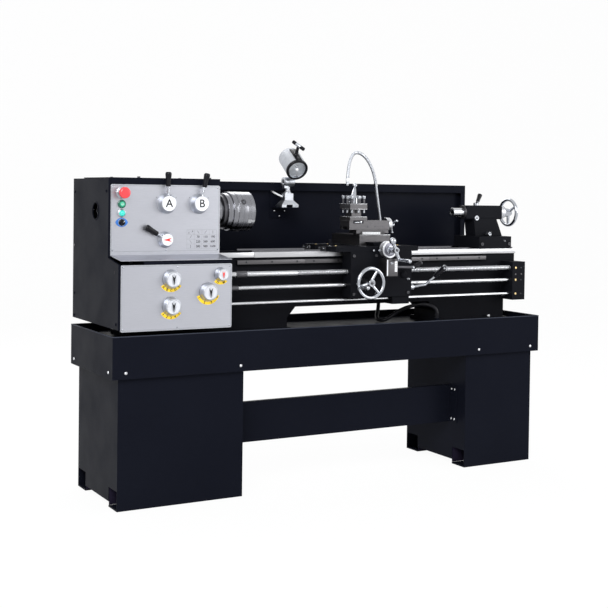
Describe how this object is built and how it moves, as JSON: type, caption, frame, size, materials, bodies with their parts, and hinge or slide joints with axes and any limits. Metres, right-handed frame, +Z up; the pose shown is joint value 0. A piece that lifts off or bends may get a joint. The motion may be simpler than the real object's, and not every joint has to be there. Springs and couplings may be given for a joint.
{
  "type": "manual engine lathe",
  "caption": "Manual engine lathe on two black sheet-metal cabinets, with geared headstock, carriage, compound slide, tailstock, chip tray, splash guard and work lamp.",
  "frame": {"origin": "on the floor, at the centre of the four outermost anchor holes", "axes": "+X along the bed from headstock to tailstock, +Y from the operator towards the splash guard, +Z up"},
  "size_m": [2.0658, 0.6293, 1.4254],
  "materials": {
    "black_paint": "satin",
    "black_casting": "satin",
    "ground_steel": "brushed",
    "slide_steel": "matt",
    "panel_steel": "brushed",
    "chrome": "polished",
    "light_alloy": "satin",
    "dark_steel": "satin",
    "motor_grey": "satin",
    "belt_rubber": "matt",
    "hose_rubber": "satin",
    "red_plastic": "gloss",
    "green_plastic": "gloss",
    "black_plastic": "gloss"
  },
  "bodies": {
    "frame": {"left_cabinet": "black_paint", "right_cabinet": "black_paint", "stretcher_panel": "black_paint", "chip_tray": "black_paint", "bed": "black_casting", "headstock_casting": "black_casting", "top_cover": "black_paint", "feed_gearbox": "black_paint", "upper_panel": "panel_steel", "lower_panel": "panel_steel", "splash_guard": "black_paint", "lamp_base": "light_alloy", "rod_bracket": "black_casting", "motor": "motor_grey", "drive_belts": "belt_rubber", "coolant_hose": "hose_rubber"},
    "end_cover": {"end_cover": "black_paint"},
    "motor_pulley": {"motor_pulley": "dark_steel"},
    "input_pulley": {"input_pulley": "dark_steel"},
    "spindle": {"spindle": "ground_steel", "chuck_body": "ground_steel"},
    "jaw_1": {"jaw_1": "ground_steel"},
    "jaw_2": {"jaw_2": "ground_steel"},
    "jaw_3": {"jaw_3": "ground_steel"},
    "idler_gear": {"idler_gear": "dark_steel"},
    "leadscrew": {"leadscrew": "ground_steel", "box_gear": "dark_steel"},
    "feed_rod": {"feed_rod": "ground_steel"},
    "control_rod": {"control_rod": "ground_steel"},
    "speed_lever_a": {"speed_lever_a": "light_alloy"},
    "speed_lever_b": {"speed_lever_b": "light_alloy"},
    "feed_direction_lever": {"feed_direction_lever": "light_alloy"},
    "knob_1": {"knob_1": "light_alloy"},
    "knob_2": {"knob_2": "light_alloy"},
    "knob_3": {"knob_3": "light_alloy"},
    "knob_4": {"knob_4": "light_alloy"},
    "e_stop_button": {"e_stop_button": "red_plastic"},
    "start_button": {"start_button": "green_plastic"},
    "coolant_switch": {"coolant_switch": "black_plastic"},
    "carriage": {"saddle": "black_casting", "apron": "black_casting", "gooseneck": "light_alloy"},
    "apron_handwheel": {"apron_handwheel": "chrome"},
    "halfnut_lever": {"halfnut_lever": "dark_steel"},
    "spindle_lever": {"spindle_lever": "chrome"},
    "cross_slide": {"cross_slide": "slide_steel"},
    "cross_crank": {"cross_crank": "chrome"},
    "swivel": {"swivel_base": "slide_steel"},
    "top_slide": {"top_slide": "slide_steel"},
    "top_crank": {"top_crank": "chrome"},
    "tool_post": {"tool_post": "slide_steel", "tool_post_screws": "dark_steel"},
    "tool_post_clamp": {"tool_post_clamp": "chrome"},
    "tailstock": {"tailstock_base": "black_casting", "tailstock_body": "black_casting"},
    "quill": {"quill": "ground_steel"},
    "tailstock_handwheel": {"tailstock_handwheel": "chrome"},
    "quill_lever": {"quill_lever": "black_plastic"},
    "lamp_arm": {"lamp_arm": "light_alloy"},
    "lamp_head": {"lamp_head": "light_alloy"}
  },
  "joints": [
    {"name": "spindle_turn", "type": "hinge", "parent": "frame", "child": "spindle", "pos_m": [-0.8905, 0.018, 1.118], "axis": [1, 0, 0], "continuous": true},
    {"name": "input_pulley_turn", "type": "hinge", "parent": "frame", "child": "input_pulley", "pos_m": [-0.8905, 0.128, 1.05], "axis": [1, 0, 0], "continuous": true},
    {"name": "motor_pulley_turn", "type": "hinge", "parent": "frame", "child": "motor_pulley", "pos_m": [-0.8905, 0.222, 0.8], "axis": [1, 0, 0], "continuous": true},
    {"name": "idler_turn", "type": "hinge", "parent": "frame", "child": "idler_gear", "pos_m": [-0.8905, 0.00056, 0.97491], "axis": [1, 0, 0], "continuous": true},
    {"name": "leadscrew_turn", "type": "hinge", "parent": "frame", "child": "leadscrew", "pos_m": [-0.5305, -0.124, 0.868], "axis": [1, 0, 0], "continuous": true},
    {"name": "feed_rod_turn", "type": "hinge", "parent": "frame", "child": "feed_rod", "pos_m": [-0.5305, -0.124, 0.813], "axis": [1, 0, 0], "continuous": true},
    {"name": "jaw_1_slide", "type": "slide", "parent": "spindle", "child": "jaw_1", "axis": [0, -0.866, -0.5], "range_m": [-0.008, 0.012]},
    {"name": "jaw_2_slide", "type": "slide", "parent": "spindle", "child": "jaw_2", "axis": [0, 0.866, -0.5], "range_m": [-0.008, 0.012]},
    {"name": "jaw_3_slide", "type": "slide", "parent": "spindle", "child": "jaw_3", "axis": [0, 0, 1], "range_m": [-0.008, 0.012]},
    {"name": "end_cover_hinge", "type": "hinge", "parent": "frame", "child": "end_cover", "pos_m": [-0.8975, 0.28, 1], "axis": [0, 0, -1], "range_deg": [0, 88]},
    {"name": "speed_lever_a_turn", "type": "hinge", "parent": "frame", "child": "speed_lever_a", "pos_m": [-0.7575, -0.12, 1.15], "axis": [0, 1, 0], "range_deg": [-35, 35]},
    {"name": "speed_lever_b_turn", "type": "hinge", "parent": "frame", "child": "speed_lever_b", "pos_m": [-0.6195, -0.12, 1.15], "axis": [0, 1, 0], "range_deg": [-30, 30]},
    {"name": "feed_direction_turn", "type": "hinge", "parent": "frame", "child": "feed_direction_lever", "pos_m": [-0.7605, -0.12, 1.01], "axis": [0, 1, 0], "range_deg": [-30, 30]},
    {"name": "knob_1_turn", "type": "hinge", "parent": "frame", "child": "knob_1", "pos_m": [-0.7825, -0.236, 0.866], "axis": [0, 1, 0], "range_deg": [-60, 60]},
    {"name": "knob_2_turn", "type": "hinge", "parent": "frame", "child": "knob_2", "pos_m": [-0.7825, -0.236, 0.763], "axis": [0, 1, 0], "range_deg": [-60, 60]},
    {"name": "knob_3_turn", "type": "hinge", "parent": "frame", "child": "knob_3", "pos_m": [-0.6295, -0.236, 0.813], "axis": [0, 1, 0], "range_deg": [-75, 75]},
    {"name": "knob_4_turn", "type": "hinge", "parent": "frame", "child": "knob_4", "pos_m": [-0.5765, -0.236, 0.88], "axis": [0, 1, 0], "range_deg": [-30, 30]},
    {"name": "e_stop_press", "type": "slide", "parent": "frame", "child": "e_stop_button", "axis": [0, 1, 0], "range_m": [0, 0.005]},
    {"name": "start_press", "type": "slide", "parent": "frame", "child": "start_button", "axis": [0, 1, 0], "range_m": [0, 0.003], "stiffness_N_per_m": 400, "springref_m": -0.001},
    {"name": "coolant_switch_turn", "type": "hinge", "parent": "frame", "child": "coolant_switch", "pos_m": [-0.9395, -0.12, 1.077], "axis": [0, 1, 0], "range_deg": [-45, 45]},
    {"name": "carriage_slide", "type": "slide", "parent": "frame", "child": "carriage", "axis": [1, 0, 0], "range_m": [-0.3, 0.28]},
    {"name": "apron_wheel_turn", "type": "hinge", "parent": "carriage", "child": "apron_handwheel", "pos_m": [0.1325, -0.206, 0.824], "axis": [0, 1, 0], "range_deg": [-5400, 5040]},
    {"name": "halfnut_turn", "type": "hinge", "parent": "carriage", "child": "halfnut_lever", "pos_m": [0.2405, 0, 0.889], "axis": [0, 1, 0], "range_deg": [0, 10]},
    {"name": "spindle_lever_turn", "type": "hinge", "parent": "carriage", "child": "spindle_lever", "pos_m": [0, -0.146, 0.796], "axis": [1, 0, 0], "range_deg": [-12, 12]},
    {"name": "control_rod_turn", "type": "hinge", "parent": "frame", "child": "control_rod", "pos_m": [0, -0.124, 0.75], "axis": [1, 0, 0], "range_deg": [-12, 12]},
    {"name": "cross_slide_travel", "type": "slide", "parent": "carriage", "child": "cross_slide", "axis": [0, 1, 0], "range_m": [-0.06, 0.09]},
    {"name": "cross_crank_turn", "type": "hinge", "parent": "carriage", "child": "cross_crank", "pos_m": [0.2335, 0, 0.962], "axis": [0, 1, 0], "range_deg": [-5400, 8100]},
    {"name": "swivel_turn", "type": "hinge", "parent": "cross_slide", "child": "swivel", "pos_m": [0.2355, -0.022, 0], "axis": [0, 0, 1], "range_deg": [-60, 60]},
    {"name": "top_slide_travel", "type": "slide", "parent": "swivel", "child": "top_slide", "axis": [1, 0, 0], "range_m": [0, 0.07]},
    {"name": "top_crank_turn", "type": "hinge", "parent": "top_slide", "child": "top_crank", "pos_m": [0, -0.022, 1.064], "axis": [1, 0, 0], "range_deg": [0, 8400]},
    {"name": "tool_post_turn", "type": "hinge", "parent": "top_slide", "child": "tool_post", "pos_m": [0.1555, -0.022, 0], "axis": [0, 0, 1], "continuous": true},
    {"name": "tool_post_clamp_turn", "type": "hinge", "parent": "top_slide", "child": "tool_post_clamp", "pos_m": [0.1555, -0.022, 0], "axis": [0, 0, 1], "range_deg": [0, 70]},
    {"name": "tailstock_slide", "type": "slide", "parent": "frame", "child": "tailstock", "axis": [1, 0, 0], "range_m": [-0.28, 0.012]},
    {"name": "quill_travel", "type": "slide", "parent": "tailstock", "child": "quill", "axis": [1, 0, 0], "range_m": [-0.045, 0.055]},
    {"name": "tailstock_wheel_turn", "type": "hinge", "parent": "tailstock", "child": "tailstock_handwheel", "pos_m": [0.9775, 0.018, 1.118], "axis": [1, 0, 0], "range_deg": [-4050, 4950]},
    {"name": "quill_lever_turn", "type": "hinge", "parent": "tailstock", "child": "quill_lever", "pos_m": [0.8495, 0.018, 0], "axis": [0, 0, 1], "range_deg": [-45, 45]},
    {"name": "lamp_swivel", "type": "hinge", "parent": "frame", "child": "lamp_arm", "pos_m": [-0.0515, 0.197, 0], "axis": [0, 0, 1], "range_deg": [-45, 45]},
    {"name": "lamp_tilt", "type": "hinge", "parent": "lamp_arm", "child": "lamp_head", "pos_m": [-0.0515, 0.197, 1.246], "axis": [1, 0, 0], "range_deg": [-25, 25]}
  ],
  "couplings": [
    {"joint": "input_pulley_turn", "follows": "spindle_turn", "ratio": 2},
    {"joint": "motor_pulley_turn", "follows": "spindle_turn", "ratio": 3.3333},
    {"joint": "idler_turn", "follows": "spindle_turn", "ratio": -0.44},
    {"joint": "leadscrew_turn", "follows": "spindle_turn", "ratio": 0.6875},
    {"joint": "feed_rod_turn", "follows": "spindle_turn", "ratio": 0.34375},
    {"joint": "jaw_2_slide", "follows": "jaw_1_slide", "ratio": 1},
    {"joint": "jaw_3_slide", "follows": "jaw_1_slide", "ratio": 1},
    {"joint": "carriage_slide", "follows": "apron_wheel_turn", "m_per_rad": 0.0031831},
    {"joint": "cross_slide_travel", "follows": "cross_crank_turn", "m_per_rad": 0.00063662},
    {"joint": "top_slide_travel", "follows": "top_crank_turn", "m_per_rad": 0.00047746},
    {"joint": "quill_travel", "follows": "tailstock_wheel_turn", "m_per_rad": 0.00063662},
    {"joint": "control_rod_turn", "follows": "spindle_lever_turn", "ratio": -1}
  ]
}
